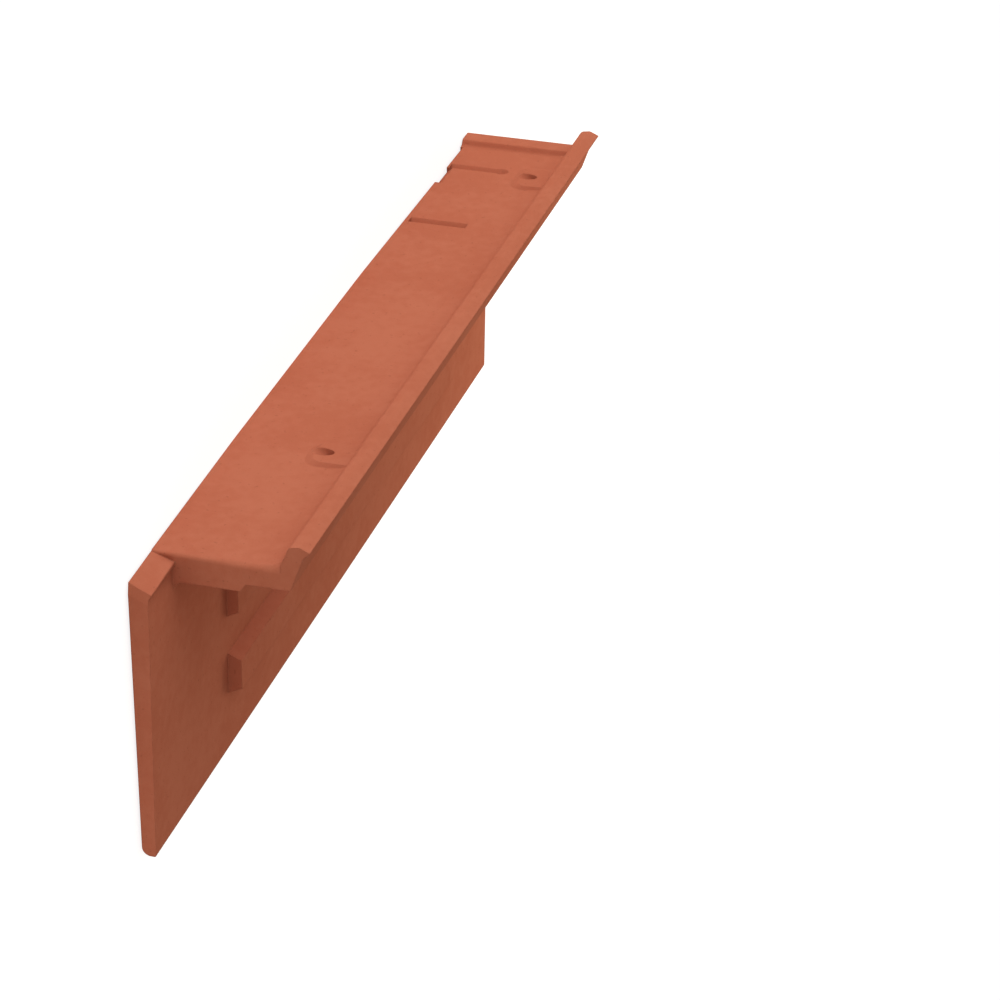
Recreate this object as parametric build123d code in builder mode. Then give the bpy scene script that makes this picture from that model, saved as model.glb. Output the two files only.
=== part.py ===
from build123d import *
from math import atan2, degrees
import os

# Overall sizes in millimetres: X along the roof slope, Y out of the flange, Z across it
flange_length = 450.0
front_overhang = 27.5
head_overhang = 6.5
skirt_depth = 133.4

# Skirt wall, measured from the floor side
wall_top = 10.1
wall_bottom = 7.7
toe_outer_radius = 4.0
toe_inner_radius = 0.8
head_tongue_drop = 8.0

# Bevelled top of the skirt ahead of the flange, with a small nose along its inner edge
front_bevel_drop = 5.5
back_bevel_drop = 3.6
bevel_nose = 1.2
bevel_nose_drop = 2.0
front_lean_run = 1.0
front_lean_drop = 5.0

# Barrelled outer face of the skirt
front_taper_length = 130.0
front_setback = 1.4
head_taper_length = 178.0
head_setback = 2.6

# Flange plate
plate_thickness = 13.4
thin_thickness = 9.8
thin_start = 42.2
step_run = 2.4
step_radius = 1.2
corner_radius = 5.0

# Rounded front edge of the flange, which widens towards the rib
outer_round_radius = 1.2
cove_round_radius = 2.6
rib_round_radius = 4.5

# Upstand rib on the inner edge of the flange, with a nose that stands out over its web
rib_height = 11.4
rib_foot = 57.7
rib_foot_rise = 1.0
rib_foot_radius = 6.5
cove_run = 10.0
rib_inner_height = 10.6
rib_inner_run = 3.6
rib_inner_radius = 2.8
rib_top_width = 4.8
rib_ridge_radius = 2.5
rib_outer_run = 4.6
rib_outer_drop = 2.1
rib_nose_run = 3.2
rib_nose_drop = 3.2
rib_nose_radius = 2.0
rib_undercut = 8.9
rib_lower_radius = 1.2

# Lip along the head
lip_start = 1.0
lip_height = 2.8
lip_depth = 11.0
lip_slope = 2.0
lip_foot_radius = 2.0
lip_arris_radius = 1.2

# Two grooves across the outer half of the flange, a pit that ends the upper one and a notch below it
groove_length = 5.4
groove_slope = 2.0
groove_start = 3.2
upper_groove_back = 34.2
upper_groove_depth = 1.8
upper_groove_end = 30.1
lower_groove_back = 102.4
lower_groove_depth = 2.1
lower_groove_end = 32.3
pit_radius = 3.4
pit_floor_radius = 1.4
pit_depth = 2.0
notch_length = 19.0
notch_width = 5.0
notch_depth = 4.4

# Nail holes, each in a funnel that leans away from the rib, on a rounded pad
front_hole_back = 99.2
front_hole_across = 44.8
head_hole_back = 42.9
head_hole_across = 47.7
hole_radius = 1.7
funnel_lean = 3.8
funnel_half_length = 6.4
funnel_half_width = 3.5
funnel_depth = 3.5
front_pad_half_length = 10.9
head_pad_half_length = 13.0
pad_reach = 9.4
pad_corner_radius = 7.5
pad_top_radius = 5.0
pad_height = 1.7
pad_end_slope = 1.8
pad_side_slope = 4.0

# Shoulder ribs on the inside of the skirt
shoulder_start = 90.0
shoulder_back = 77.5
shoulder_base = 21.0
shoulder_tip = 14.0
upper_shoulder_down = 56.0
upper_shoulder_height = 5.2
lower_shoulder_down = 94.5
lower_shoulder_height = 6.4

# Positions worked out from the sizes
skirt_length = front_overhang + flange_length + head_overhang
x_front = -skirt_length / 2
x_flange = x_front + front_overhang
x_head = x_flange + flange_length
x_back = x_head + head_overhang
x_shoulder = x_front + shoulder_start
x_upper_groove = x_head - upper_groove_back
x_lower_groove = x_head - lower_groove_back
x_notch = x_upper_groove - groove_length
y_top = (skirt_depth - rib_height) / 2
y_bottom = y_top - skirt_depth
y_under = y_top - plate_thickness
y_pad = y_top + pad_height
bevel_edge_z = wall_top + bevel_nose
wall_lean = (wall_top - wall_bottom) / (skirt_depth - plate_thickness)
rib_inner_z = rib_foot + rib_inner_run
rib_ridge_z = rib_inner_z + rib_top_width
rib_outer_z = rib_ridge_z + rib_outer_run
nail_holes = (
    (x_flange + front_hole_back, front_hole_across, front_pad_half_length),
    (x_head - head_hole_back, head_hole_across, head_pad_half_length),
)

# Corners of the section across the flange, as Y and Z
rib_foot_corner = (y_top + rib_foot_rise, rib_foot)
rib_inner_corner = (y_top + rib_inner_height, rib_inner_z)
rib_ridge_corner = (y_top + rib_height, rib_ridge_z)
rib_nose_tip = (y_top + rib_height - rib_outer_drop, rib_outer_z)
rib_nose_root = (y_top + rib_height - rib_outer_drop - rib_nose_drop, rib_outer_z - rib_nose_run)
rib_lower_corner = (y_top - thin_thickness, rib_outer_z - rib_undercut)
thin_corner = (y_top - thin_thickness, thin_start)
thick_corner = (y_under, thin_start - step_run)
inner_corner = (y_under, wall_top)

with BuildPart() as verge_tile:
    # Skirt ahead of the flange
    with BuildSketch(Plane.YZ.offset(x_front)):
        with BuildLine():
            Polyline(
                (y_bottom, 0),
                (y_top, 0),
                (y_top, bevel_edge_z),
                (y_top - front_bevel_drop, bevel_edge_z),
                (y_top - front_bevel_drop - bevel_nose_drop, wall_top),
                inner_corner,
                (y_bottom, wall_bottom),
                close=True,
            )
        make_face()
    extrude(amount=front_overhang + cove_round_radius)

    # Bevel that falls inwards, and leans back at the foot end
    for bevel_x, outer_drop, inner_drop in (
        (x_front, front_lean_drop, front_lean_drop + front_bevel_drop),
        (x_front + front_lean_run, 0, front_bevel_drop),
        (x_flange + cove_round_radius, 0, back_bevel_drop),
    ):
        with BuildSketch(Plane.YZ.offset(bevel_x)):
            with BuildLine():
                Polyline(
                    (y_top - outer_drop, 0),
                    (y_top - inner_drop, bevel_edge_z),
                    (y_top + rib_height, bevel_edge_z),
                    (y_top + rib_height, 0),
                    close=True,
                )
            make_face()
    loft(ruled=True, mode=Mode.SUBTRACT)

    # Flange, rib and skirt in one section
    with BuildSketch(Plane.YZ.offset(x_flange)) as section:
        with BuildLine():
            Polyline(
                (y_bottom, 0),
                (y_top, 0),
                (y_top, rib_foot - cove_run),
                rib_foot_corner,
                rib_inner_corner,
                rib_ridge_corner,
                rib_nose_tip,
                rib_nose_root,
                rib_lower_corner,
                thin_corner,
                thick_corner,
                inner_corner,
                (y_bottom, wall_bottom),
                close=True,
            )
        make_face()
        for corner, radius in (
            (rib_foot_corner, rib_foot_radius),
            (rib_inner_corner, rib_inner_radius),
            (rib_ridge_corner, rib_ridge_radius),
            (rib_nose_root, rib_nose_radius),
            (rib_lower_corner, rib_lower_radius),
            (thin_corner, step_radius),
            (thick_corner, step_radius),
            (inner_corner, corner_radius),
        ):
            fillet(section.vertices().sort_by_distance(corner)[0], radius)
    extrude(amount=flange_length)

    # Rounded front edge of the flange, up to the rib
    for round_z, round_top, radius in (
        (0, y_top, outer_round_radius),
        (rib_foot - cove_run, y_top, cove_round_radius),
        (rib_foot, y_top + 2 * rib_foot_rise, rib_round_radius),
    ):
        with BuildSketch(Plane.XY.offset(round_z)):
            with BuildLine():
                JernArc((x_flange, round_top - radius), (0, 1), radius, -90)
                Polyline(
                    (x_flange + radius, round_top),
                    (x_flange + radius, round_top + rib_foot_rise),
                    (x_flange, round_top + rib_foot_rise),
                    (x_flange, round_top - radius),
                )
            make_face()
    loft(ruled=True, mode=Mode.SUBTRACT)

    # Lower tongue of the skirt behind the head
    with BuildSketch(Plane.YZ.offset(x_head)):
        with BuildLine():
            Polyline(
                (y_bottom, 0),
                (y_top - head_tongue_drop, 0),
                (y_top - head_tongue_drop, wall_top),
                inner_corner,
                (y_bottom, wall_bottom),
                close=True,
            )
        make_face()
    extrude(amount=head_overhang)

    # Shoulder ribs that stop the tile below
    for shoulder_down, shoulder_height in (
        (upper_shoulder_down, upper_shoulder_height),
        (lower_shoulder_down, lower_shoulder_height),
    ):
        shoulder_y = y_top - shoulder_down
        shoulder_foot = wall_bottom + (shoulder_y - y_bottom) * wall_lean
        with BuildSketch(Plane.YZ.offset(x_shoulder)):
            with BuildLine():
                Polyline(
                    (shoulder_y - shoulder_base / 2, 0),
                    (shoulder_y - shoulder_base / 2, wall_bottom),
                    (shoulder_y - shoulder_tip / 2, shoulder_foot + shoulder_height),
                    (shoulder_y + shoulder_tip / 2, shoulder_foot + shoulder_height),
                    (shoulder_y + shoulder_base / 2, wall_bottom),
                    (shoulder_y + shoulder_base / 2, 0),
                    close=True,
                )
            make_face()
        extrude(amount=x_head - shoulder_back - x_shoulder)

    # Pads that run from the nail holes into the rib
    for hole_x, hole_z, pad_half_length in nail_holes:
        pad_side = hole_z - pad_reach
        for pad_y, half_length, side, radius in (
            (y_top, pad_half_length, pad_side, pad_corner_radius),
            (y_pad, pad_half_length - pad_end_slope, pad_side + pad_side_slope, pad_top_radius),
        ):
            with BuildSketch(Plane.XZ.offset(-pad_y)) as pad:
                with BuildLine():
                    Polyline(
                        (hole_x - half_length, rib_inner_z),
                        (hole_x - half_length, side),
                        (hole_x + half_length, side),
                        (hole_x + half_length, rib_inner_z),
                        close=True,
                    )
                make_face()
                fillet(pad.vertices().group_by(Axis.Y)[0], radius)
        loft()

    # Outer face drawn in towards both ends
    with BuildSketch(Plane.XZ):
        with BuildLine():
            Polyline((x_front, 0), (x_front + front_taper_length, 0), (x_front, front_setback), close=True)
        make_face()
        with BuildLine():
            Polyline((x_back, 0), (x_back - head_taper_length, 0), (x_back, head_setback), close=True)
        make_face()
    extrude(amount=skirt_depth, both=True, mode=Mode.SUBTRACT)

    # Lip along the head, whose end stands out from the drawn-in outer face
    x_lip = x_head - lip_depth
    with BuildSketch(Plane.XY.offset(lip_start)) as lip_section:
        with BuildLine():
            Polyline(
                (x_head, y_top - lip_height),
                (x_lip - lip_foot_radius, y_top - lip_height),
                (x_lip - lip_foot_radius, y_top),
                (x_lip, y_top),
                (x_lip + lip_slope, y_top + lip_height),
                (x_head, y_top + lip_height),
                close=True,
            )
        make_face()
        fillet(lip_section.vertices().sort_by_distance((x_lip, y_top))[0], lip_foot_radius)
        fillet(lip_section.vertices().sort_by_distance((x_lip + lip_slope, y_top + lip_height))[0], lip_arris_radius)
    extrude(amount=rib_inner_z - lip_start)

    # Rounded toe of the skirt
    toe_edges = verge_tile.faces().sort_by(Axis.Y)[0].edges().sort_by(SortBy.LENGTH)[-4:].sort_by(Axis.Z)
    fillet(toe_edges[-1], toe_inner_radius)
    toe_edges = verge_tile.faces().sort_by(Axis.Y)[0].edges().sort_by(SortBy.LENGTH)[-4:].sort_by(Axis.Z)
    fillet(toe_edges[:-1], toe_outer_radius)

    # Grooves that start short of the outer edge, and the pit at the upper one's end
    for groove_x, groove_depth, groove_end in (
        (x_upper_groove, upper_groove_depth, upper_groove_end),
        (x_lower_groove, lower_groove_depth, lower_groove_end),
    ):
        with BuildSketch(Plane.XY.offset(groove_start)):
            with BuildLine():
                Polyline(
                    (groove_x, y_top),
                    (groove_x - groove_slope, y_top - groove_depth),
                    (groove_x - groove_length + groove_slope, y_top - groove_depth),
                    (groove_x - groove_length, y_top),
                    close=True,
                )
            make_face()
        extrude(amount=groove_end - groove_start, mode=Mode.SUBTRACT)
    pit_x = x_upper_groove - groove_length / 2
    with BuildSketch(Plane(origin=(pit_x, y_top, upper_groove_end), z_dir=(0, 1, 0))):
        Circle(pit_radius)
    extrude(amount=-pit_depth, taper=degrees(atan2(pit_radius - pit_floor_radius, pit_depth)), mode=Mode.SUBTRACT)

    # Notch in the outer edge below the upper groove
    with BuildSketch(Plane.YZ.offset(x_notch - notch_length)):
        with BuildLine():
            Polyline((y_top, 0), (y_top - notch_depth, 0), (y_top, notch_width), close=True)
        make_face()
    extrude(amount=notch_length, mode=Mode.SUBTRACT)

    # Nail holes at the bottom of their funnels
    for hole_x, hole_z, _ in nail_holes:
        with BuildSketch(Plane(origin=(hole_x, y_pad, hole_z - funnel_lean), x_dir=(1, 0, 0), z_dir=(0, 1, 0))):
            Ellipse(funnel_half_width, funnel_half_length)
        with BuildSketch(Plane(origin=(hole_x, y_pad - funnel_depth, hole_z), x_dir=(1, 0, 0), z_dir=(0, 1, 0))):
            Circle(hole_radius)
        loft(mode=Mode.SUBTRACT)
        with Locations(Plane(origin=(hole_x, y_pad, hole_z), z_dir=(0, 1, 0))):
            Hole(hole_radius, depth=plate_thickness + pad_height)

verge_tile.part.label = "verge_tile"
os.makedirs("parts", exist_ok=True)
export_step(verge_tile.part, "parts/verge_tile.step")
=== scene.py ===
import bpy
from mathutils import Matrix, Vector

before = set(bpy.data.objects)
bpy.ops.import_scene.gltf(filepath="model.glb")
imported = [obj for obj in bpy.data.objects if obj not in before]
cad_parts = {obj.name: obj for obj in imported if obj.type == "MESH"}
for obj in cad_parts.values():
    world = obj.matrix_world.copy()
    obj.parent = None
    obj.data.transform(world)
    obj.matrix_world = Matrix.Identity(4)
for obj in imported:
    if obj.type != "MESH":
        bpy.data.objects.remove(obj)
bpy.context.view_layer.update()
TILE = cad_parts["verge_tile"]

bl_info = {
    "name": "Clay Verge Tile",
    "version": (1, 0, 0),
    "blender": (4, 5, 0),
    "location": "3D View > Sidebar > Verge Tile",
    "description": "Gives the verge tile its fired clay finish and sets it on a pale studio floor",
    "category": "Object",
}

# Shares of the two noises in the tone of the clay, and of that tone in its colour
CLOUD_SHARE = 0.6
MOTTLE_SHARE = 0.4
TONE_SHARE = 0.45

# Levels of noise between which each mark comes in
TONE_RISE = (0.36, 0.64)
GROG_RISE = (0.7, 0.76)
GRAIN_RISE = (0.3, 0.7)
PORE_RISE = (0.3, 0.4)

# Bend of the softened normal at which the rubbing of an edge starts, and at which it is full
RUB_RISE = (0.02, 0.25)

# Strength of each mark in the colour, where the rubbing has a least share and one that the mottling adds
RUB_LEAST = 0.15
RUB_MOTTLED = 0.45
GROG_SHARE = 0.35
GRAIN_SHARE = 0.16
# Share of the painted shade in the corners
PAINTED_SHADE_SHARE = 0.62

# Parts of the relief's height, and how strongly the relief turns the light
GRAIN_HEIGHT = 0.6
PORE_HEIGHT = 0.5
SWELL_HEIGHT = 0.9
RELIEF_STRENGTH = 0.6

# Dull surface: its least roughness, what the mottling adds, and its faint shine
DULL_LEAST = 0.8
DULL_MOTTLED = 0.15
SHINE = 0.01

# Rays per point for the softened edges and for the painted shade in the corners
EDGE_RAYS = 6
PAINTED_SHADE_RAYS = 8

# The way out of the weather face, which is up in the picture
WEATHER_SIDE = Vector((0, 1, 0))

# Points that the lamps face, in metres
FILL_LAMP_AIM = Vector((0, 0, 0))
FOOT_LAMP_AIM = Vector((-0.24, 0, 0.03))
HEAD_LAMP_AIM = Vector((0.2, 0, 0))

# Width of the camera's sensor, in millimetres
SENSOR_WIDTH = 36.0

WHITE = (1, 1, 1, 1)


class Value:
    """A socket of a node tree whose sums are written as Python expressions."""

    def __init__(self, bench, socket):
        self.bench = bench
        self.socket = socket

    def maths(self, operation, first, second):
        """A Math node on two values or numbers."""
        return self.bench.add("ShaderNodeMath", {"operation": operation}, {
            "Value": first, "Value_001": second})

    def at_least(self, other):
        """The larger of the two."""
        return self.maths("MAXIMUM", self, other)

    def __add__(self, other):
        return self.maths("ADD", self, other)

    def __radd__(self, other):
        return self.maths("ADD", other, self)

    def __sub__(self, other):
        return self.maths("SUBTRACT", self, other)

    def __rsub__(self, other):
        return self.maths("SUBTRACT", other, self)

    def __mul__(self, other):
        return self.maths("MULTIPLY", self, other)

    def __rmul__(self, other):
        return self.maths("MULTIPLY", other, self)

    def __pow__(self, other):
        return self.maths("POWER", self, other)

    def __rpow__(self, other):
        return self.maths("POWER", other, self)


class NodeBench:
    """Adds nodes to the tree of one material or world."""

    def __init__(self, owner):
        owner.use_nodes = True
        self.tree = owner.node_tree
        self.tree.nodes.clear()

    def add(self, kind, settings=None, sockets=None, output=None):
        """A node of that kind: its settings first, then values or links for its sockets by identifier."""
        node = self.tree.nodes.new(kind)
        for name, setting in (settings or {}).items():
            setattr(node, name, setting)
        places = {place.identifier: place for place in node.inputs}
        for name, term in (sockets or {}).items():
            if isinstance(term, Value):
                self.tree.links.new(term.socket, places[name])
            else:
                places[name].default_value = term
        ends = {end.identifier: end for end in node.outputs}
        if not ends:
            return node
        return Value(self, ends[output] if output else node.outputs[0])

    def noise(self, place, grain, detail, roughness=0.5):
        """Noise whose lumps are about one grain across, from 0 to 1."""
        return self.add("ShaderNodeTexNoise", {"noise_dimensions": "3D"}, {
            "Vector": place, "Scale": 1 / grain, "Detail": detail, "Roughness": roughness}, "Fac")

    def step(self, value, low, high):
        """A smooth rise from 0 at low to 1 at high."""
        return self.add("ShaderNodeMapRange", {"interpolation_type": "SMOOTHSTEP"}, {
            "Value": value, "From Min": low, "From Max": high}, "Result")

    def dot(self, first, second):
        """How far two directions agree: 1 where they are the same."""
        return self.add("ShaderNodeVectorMath", {"operation": "DOT_PRODUCT"}, {
            "Vector": first, "Vector_001": second}, "Value")

    def blend(self, share, first, second):
        """Two colours mixed by a share."""
        return self.add("ShaderNodeMix", {"data_type": "RGBA"}, {
            "Factor_Float": share, "A_Color": first, "B_Color": second}, "Result_Color")

    def mix_shader(self, share, first, second):
        """Two shaders mixed by a share."""
        return self.add("ShaderNodeMixShader", None, {
            "Fac": share, "Shader": first, "Shader_001": second})

    def seen_share(self):
        """One for what the camera sees, also by gloss or glass, and none for light that falls on things."""
        straight, shine, through = (
            self.add("ShaderNodeLightPath", output=ray)
            for ray in ("Is Camera Ray", "Is Glossy Ray", "Is Transmission Ray"))
        return straight + shine + through


class ClayFinish(bpy.types.PropertyGroup):
    """The fired clay of the tile."""

    body: bpy.props.FloatVectorProperty(
        name="Fired clay", description="Main colour of the fired clay",
        subtype="COLOR", size=4, min=0, max=1, default=(0.532, 0.157, 0.0885, 1))
    pale: bpy.props.FloatVectorProperty(
        name="Pale bloom", description="Colour of the paler clouds and of the rubbed edges",
        subtype="COLOR", size=4, min=0, max=1, default=(0.575, 0.182, 0.106, 1))
    deep: bpy.props.FloatVectorProperty(
        name="Deep burn", description="Colour of the clouds that the fire left darker",
        subtype="COLOR", size=4, min=0, max=1, default=(0.49, 0.131, 0.0705, 1))
    grog: bpy.props.FloatVectorProperty(
        name="Dark grog", description="Colour of the small dark grains in the clay",
        subtype="COLOR", size=4, min=0, max=1, default=(0.3, 0.085, 0.05, 1))
    # Painted shade: colour that darkens the clay in its corners, where shade falls
    shade: bpy.props.FloatVectorProperty(
        name="Painted shade", description="Colour of the clay in the corners, painted darker as shade",
        subtype="COLOR", size=4, min=0, max=1, default=(0.27, 0.077, 0.043, 1))
    painted_shade_reach: bpy.props.FloatProperty(
        name="Shade reach", description="How far the painted shade reaches out of a corner",
        unit="LENGTH", default=0.024)
    cloud_size: bpy.props.FloatProperty(
        name="Cloud size", description="Width of the clouds of colour",
        unit="LENGTH", default=0.045)
    mottle_size: bpy.props.FloatProperty(
        name="Mottle size", description="Width of the fine mottling within the clouds",
        unit="LENGTH", default=0.005)
    grain_size: bpy.props.FloatProperty(
        name="Grain size", description="Width of the fine grains of the pressed surface",
        unit="LENGTH", default=0.0007)
    grog_size: bpy.props.FloatProperty(
        name="Grog size", description="Width of the small dark grains in the clay",
        unit="LENGTH", default=0.00154)
    pore_size: bpy.props.FloatProperty(
        name="Pore size", description="Width of the pores of the pressed surface",
        unit="LENGTH", default=0.0021)
    swell_size: bpy.props.FloatProperty(
        name="Swell size", description="Width of the low swells of the pressed surface",
        unit="LENGTH", default=0.01125)
    edge_radius: bpy.props.FloatProperty(
        name="Edge radius", description="Radius of the softened edges",
        unit="LENGTH", default=0.0008)
    relief: bpy.props.FloatProperty(
        name="Relief", description="Height of the surface grain",
        unit="LENGTH", default=0.00008)


class StudioStage(bpy.types.PropertyGroup):
    """Floor, lamps and camera."""

    floor_colour: bpy.props.FloatVectorProperty(
        name="Floor", description="Colour of the pale floor",
        subtype="COLOR", size=4, min=0, max=1, default=(0.9, 0.9, 0.9, 1))
    shadow_colour: bpy.props.FloatVectorProperty(
        name="Floor in view",
        description="Colour of the floor where it is seen, which sets how deep the shadow is",
        subtype="COLOR", size=4, min=0, max=1, default=(0.45, 0.45, 0.45, 1))
    floor_glow: bpy.props.FloatProperty(
        name="Floor glow", description="Light that makes the floor white where it is seen",
        min=0, max=1, default=0.84)
    floor_side: bpy.props.FloatProperty(
        name="Floor side", description="Side of the square floor",
        unit="LENGTH", default=14.0)
    air_colour: bpy.props.FloatVectorProperty(
        name="Air colour",
        description="Colour of the even light from all round and of the small lamp near the head",
        subtype="COLOR", size=4, min=0, max=1, default=(1, 0.93, 0.79, 1))
    air_level: bpy.props.FloatProperty(
        name="Air", description="Level of the even light from all round",
        min=0, default=0.262)
    sky_colour: bpy.props.FloatVectorProperty(
        name="Sky colour", description="Colour of the soft light and the lamp that face the weather face",
        subtype="COLOR", size=4, min=0, max=1, default=(0.96, 0.99, 1, 1))
    sky_level: bpy.props.FloatProperty(
        name="Sky", description="Level of the soft light that falls on the weather face, at its brightest",
        min=0, default=2.82)
    sky_focus: bpy.props.FloatProperty(
        name="Sky focus", description="How closely that light gathers about its middle",
        min=0, default=4.0)
    fill_lamp_place: bpy.props.FloatVectorProperty(
        name="Fill lamp place", description="Place of the wide lamp that faces the weather face",
        subtype="TRANSLATION", unit="LENGTH", default=(0, 3, 0))
    fill_lamp_width: bpy.props.FloatProperty(
        name="Fill lamp width", description="Width of the wide lamp that faces the weather face",
        unit="LENGTH", default=2.0)
    fill_lamp_power: bpy.props.FloatProperty(
        name="Fill lamp power", description="Power of the wide lamp, which casts no shadow",
        unit="POWER", default=20.0)
    foot_lamp_place: bpy.props.FloatVectorProperty(
        name="Foot lamp place", description="Place of the small lamp before the skirt's front end",
        subtype="TRANSLATION", unit="LENGTH", default=(-0.55, -0.12, 0.08))
    foot_lamp_width: bpy.props.FloatProperty(
        name="Foot lamp width", description="Width of the small lamp before the foot",
        unit="LENGTH", default=0.3)
    foot_lamp_power: bpy.props.FloatProperty(
        name="Foot lamp power", description="Power of the small lamp before the foot",
        unit="POWER", default=0.3)
    head_lamp_place: bpy.props.FloatVectorProperty(
        name="Head lamp place",
        description="Place of the small lamp near the inside of the skirt's head end",
        subtype="TRANSLATION", unit="LENGTH", default=(0.4, -0.1, 0.4))
    head_lamp_width: bpy.props.FloatProperty(
        name="Head lamp width", description="Width of the small lamp near the head",
        unit="LENGTH", default=0.4)
    head_lamp_power: bpy.props.FloatProperty(
        name="Head lamp power", description="Power of the small lamp near the head",
        unit="POWER", default=0.95)
    eye: bpy.props.FloatVectorProperty(
        name="Eye", description="Place of the camera",
        subtype="TRANSLATION", unit="LENGTH", default=(-1.45287, 0.81495, 0.51732))
    aim: bpy.props.FloatVectorProperty(
        name="Aim", description="Point at the middle of the picture",
        subtype="TRANSLATION", unit="LENGTH", default=(-0.09108, 0.03744, 0.11485))
    focal_length: bpy.props.FloatProperty(
        name="Focal length", description="Focal length of the lens, on a sensor 36 mm wide",
        unit="CAMERA", default=133.622)


class VERGE_OT_dress_tile(bpy.types.Operator):
    """Give the tile its fired clay finish, with shade painted into its corners"""

    bl_idname = "verge.dress_tile"
    bl_label = "Dress Tile"

    def execute(self, context):
        finish = context.scene.clay_finish
        pale = tuple(finish.pale)
        clay = bpy.data.materials.new("fired_clay")
        bench = NodeBench(clay)
        place = bench.add("ShaderNodeTexCoord", output="Object")

        # Clouds of colour from the kiln, and fine mottling within them
        clouds = bench.noise(place, finish.cloud_size, detail=3.0)
        mottle = bench.noise(place, finish.mottle_size, detail=3.0)
        tone = clouds * CLOUD_SHARE + mottle * MOTTLE_SHARE
        colour = bench.blend(bench.step(tone, *TONE_RISE), tuple(finish.deep), pale)
        colour = bench.blend(TONE_SHARE, tuple(finish.body), colour)

        # Rubbed edges, where the softened normal leaves the true one
        true_way = bench.add("ShaderNodeNewGeometry", output="Normal")
        soft_way = bench.add("ShaderNodeBevel", {"samples": EDGE_RAYS}, {"Radius": finish.edge_radius})
        edge = bench.step(1 - bench.dot(true_way, soft_way), *RUB_RISE)
        colour = bench.blend(edge * (RUB_LEAST + RUB_MOTTLED * mottle), colour, pale)

        # Dark grains of grog, few and small, and the pale grain of the surface
        grog = bench.step(bench.noise(place, finish.grog_size, detail=1.0), *GROG_RISE)
        colour = bench.blend(grog * GROG_SHARE, colour, tuple(finish.grog))
        grain = bench.noise(place, finish.grain_size, detail=2.0, roughness=0.6)
        colour = bench.blend(bench.step(grain, *GRAIN_RISE) * GRAIN_SHARE, colour, pale)

        # Painted shade: the clay colour darkened in the corners and under overhangs, where shade falls
        openness = bench.add("ShaderNodeAmbientOcclusion", {"samples": PAINTED_SHADE_RAYS, "only_local": True}, {
            "Distance": finish.painted_shade_reach}, "AO")
        colour = bench.blend((1 - openness) * PAINTED_SHADE_SHARE, colour, tuple(finish.shade))

        # Pressed, slightly sandy surface
        pores = bench.step(bench.noise(place, finish.pore_size, detail=1.0), *PORE_RISE)
        swell = bench.noise(place, finish.swell_size, detail=1.0)
        height = grain * GRAIN_HEIGHT + pores * PORE_HEIGHT + swell * SWELL_HEIGHT
        bump = bench.add("ShaderNodeBump", None, {
            "Strength": RELIEF_STRENGTH, "Distance": finish.relief, "Height": height, "Normal": soft_way})
        shader = bench.add("ShaderNodeBsdfPrincipled", None, {
            "Base Color": colour, "Roughness": DULL_LEAST + DULL_MOTTLED * mottle,
            "Specular IOR Level": SHINE, "Normal": bump})
        bench.add("ShaderNodeOutputMaterial", None, {"Surface": shader})
        TILE.data.materials.clear()
        TILE.data.materials.append(clay)
        return {"FINISHED"}


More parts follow.
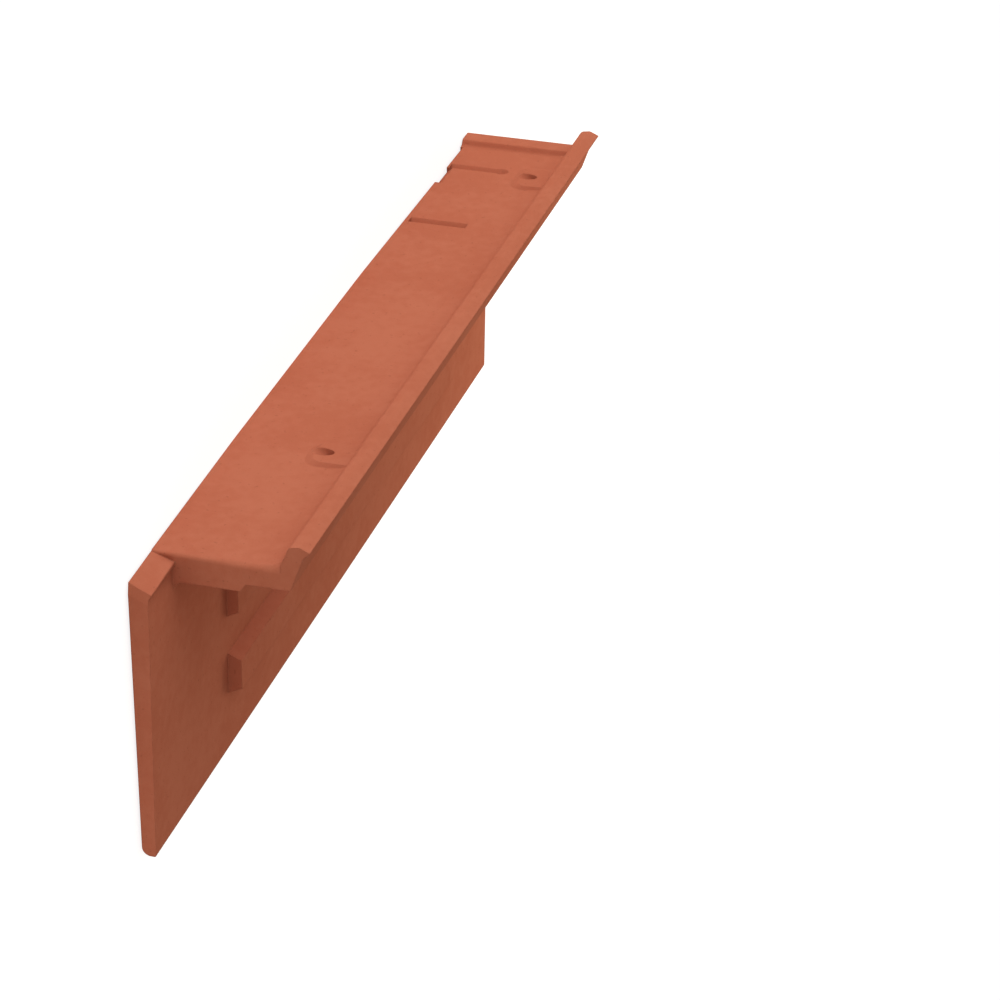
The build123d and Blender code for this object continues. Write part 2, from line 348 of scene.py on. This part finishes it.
class VERGE_OT_set_stage(bpy.types.Operator):
    """Lay the floor and place the lamps and the camera"""

    bl_idname = "verge.set_stage"
    bl_label = "Set Stage"

    def execute(self, context):
        stage = context.scene.studio_stage
        self.lay_floor(context, stage)
        self.light_air(context, stage)
        fill_lamp = self.hang_lamp(
            context, "fill_lamp", stage.fill_lamp_place, FILL_LAMP_AIM,
            stage.fill_lamp_width, stage.fill_lamp_power)
        fill_lamp.data.use_shadow = False
        fill_lamp.data.color = stage.sky_colour[:3]
        self.hang_lamp(
            context, "foot_lamp", stage.foot_lamp_place, FOOT_LAMP_AIM,
            stage.foot_lamp_width, stage.foot_lamp_power)
        head_lamp = self.hang_lamp(
            context, "head_lamp", stage.head_lamp_place, HEAD_LAMP_AIM,
            stage.head_lamp_width, stage.head_lamp_power)
        head_lamp.data.color = stage.air_colour[:3]
        self.place_camera(context, stage)
        context.scene.view_settings.view_transform = "Standard"
        return {"FINISHED"}

    def lay_floor(self, context, stage):
        """A square floor that the camera sees as white, with the tile's shadow."""
        half = stage.floor_side / 2
        mesh = bpy.data.meshes.new("floor")
        corners = [(-half, -half, 0), (half, -half, 0), (half, half, 0), (-half, half, 0)]
        mesh.from_pydata(corners, [], [(0, 1, 2, 3)])
        floor = bpy.data.objects.new("floor", mesh)
        context.scene.collection.objects.link(floor)
        paint = bpy.data.materials.new("floor_paint")
        bench = NodeBench(paint)
        plain = bench.add("ShaderNodeBsdfDiffuse", None, {"Color": tuple(stage.floor_colour)})
        shaded = bench.add("ShaderNodeBsdfDiffuse", None, {"Color": tuple(stage.shadow_colour)})
        glow = bench.add("ShaderNodeEmission", None, {"Color": WHITE, "Strength": stage.floor_glow})
        in_view = bench.add("ShaderNodeAddShader", None, {"Shader": shaded, "Shader_001": glow})
        bench.add("ShaderNodeOutputMaterial", None, {
            "Surface": bench.mix_shader(bench.seen_share(), plain, in_view)})
        mesh.materials.append(paint)

    def light_air(self, context, stage):
        """Even light from all round and more on the weather face, white where it is seen."""
        air = bpy.data.worlds.new("studio_air")
        context.scene.world = air
        bench = NodeBench(air)
        way = bench.add("ShaderNodeTexCoord", output="Generated")
        sky = bench.dot(way, WEATHER_SIDE).at_least(0.0) ** stage.sky_focus
        even = bench.add("ShaderNodeBackground", None, {
            "Color": tuple(stage.air_colour), "Strength": stage.air_level})
        above = bench.add("ShaderNodeBackground", None, {
            "Color": tuple(stage.sky_colour), "Strength": stage.sky_level})
        white = bench.add("ShaderNodeBackground", None, {"Color": WHITE, "Strength": 1.0})
        soft = bench.mix_shader(sky, even, above)
        bench.add("ShaderNodeOutputWorld", None, {
            "Surface": bench.mix_shader(bench.seen_share(), soft, white)})

    def hang_lamp(self, context, name, place, aim, width, power):
        """A round soft lamp that faces a point and isn't seen itself."""
        data = bpy.data.lights.new(name, "AREA")
        data.shape = "DISK"
        data.size = width
        data.energy = power
        lamp = bpy.data.objects.new(name, data)
        lamp.location = place
        lamp.visible_camera = False
        lamp.rotation_euler = (Vector(place) - aim).to_track_quat("Z", "Y").to_euler()
        context.scene.collection.objects.link(lamp)
        return lamp

    def place_camera(self, context, stage):
        """The camera at the photograph's angle, with the weather face up in the picture."""
        lens = bpy.data.cameras.new("camera")
        lens.sensor_width = SENSOR_WIDTH
        lens.lens = stage.focal_length
        camera = bpy.data.objects.new("camera", lens)
        context.scene.collection.objects.link(camera)
        forward = (Vector(stage.aim) - Vector(stage.eye)).normalized()
        right = forward.cross(WEATHER_SIDE).normalized()
        up = right.cross(forward)
        turn = Matrix((right, up, -forward)).transposed().to_4x4()
        camera.matrix_world = Matrix.Translation(stage.eye) @ turn
        context.scene.camera = camera


class VERGE_PT_panel(bpy.types.Panel):
    """Sizes and colours of the verge tile"""

    bl_idname = "VERGE_PT_panel"
    bl_label = "Verge Tile"
    bl_space_type = "VIEW_3D"
    bl_region_type = "UI"
    bl_category = "Verge Tile"

    def draw(self, context):
        scene = context.scene
        for group, operator in (
            (scene.clay_finish, VERGE_OT_dress_tile),
            (scene.studio_stage, VERGE_OT_set_stage),
        ):
            column = self.layout.column()
            for name in group.__annotations__:
                column.prop(group, name)
            column.operator(operator.bl_idname)


CLASSES = (ClayFinish, StudioStage, VERGE_OT_dress_tile, VERGE_OT_set_stage, VERGE_PT_panel)


def register():
    for cls in CLASSES:
        bpy.utils.register_class(cls)
    bpy.types.Scene.clay_finish = bpy.props.PointerProperty(type=ClayFinish)
    bpy.types.Scene.studio_stage = bpy.props.PointerProperty(type=StudioStage)


def unregister():
    del bpy.types.Scene.studio_stage
    del bpy.types.Scene.clay_finish
    for cls in reversed(CLASSES):
        bpy.utils.unregister_class(cls)


def main():
    register()
    bpy.ops.verge.dress_tile()
    bpy.ops.verge.set_stage()


if __name__ == "__main__":
    main()
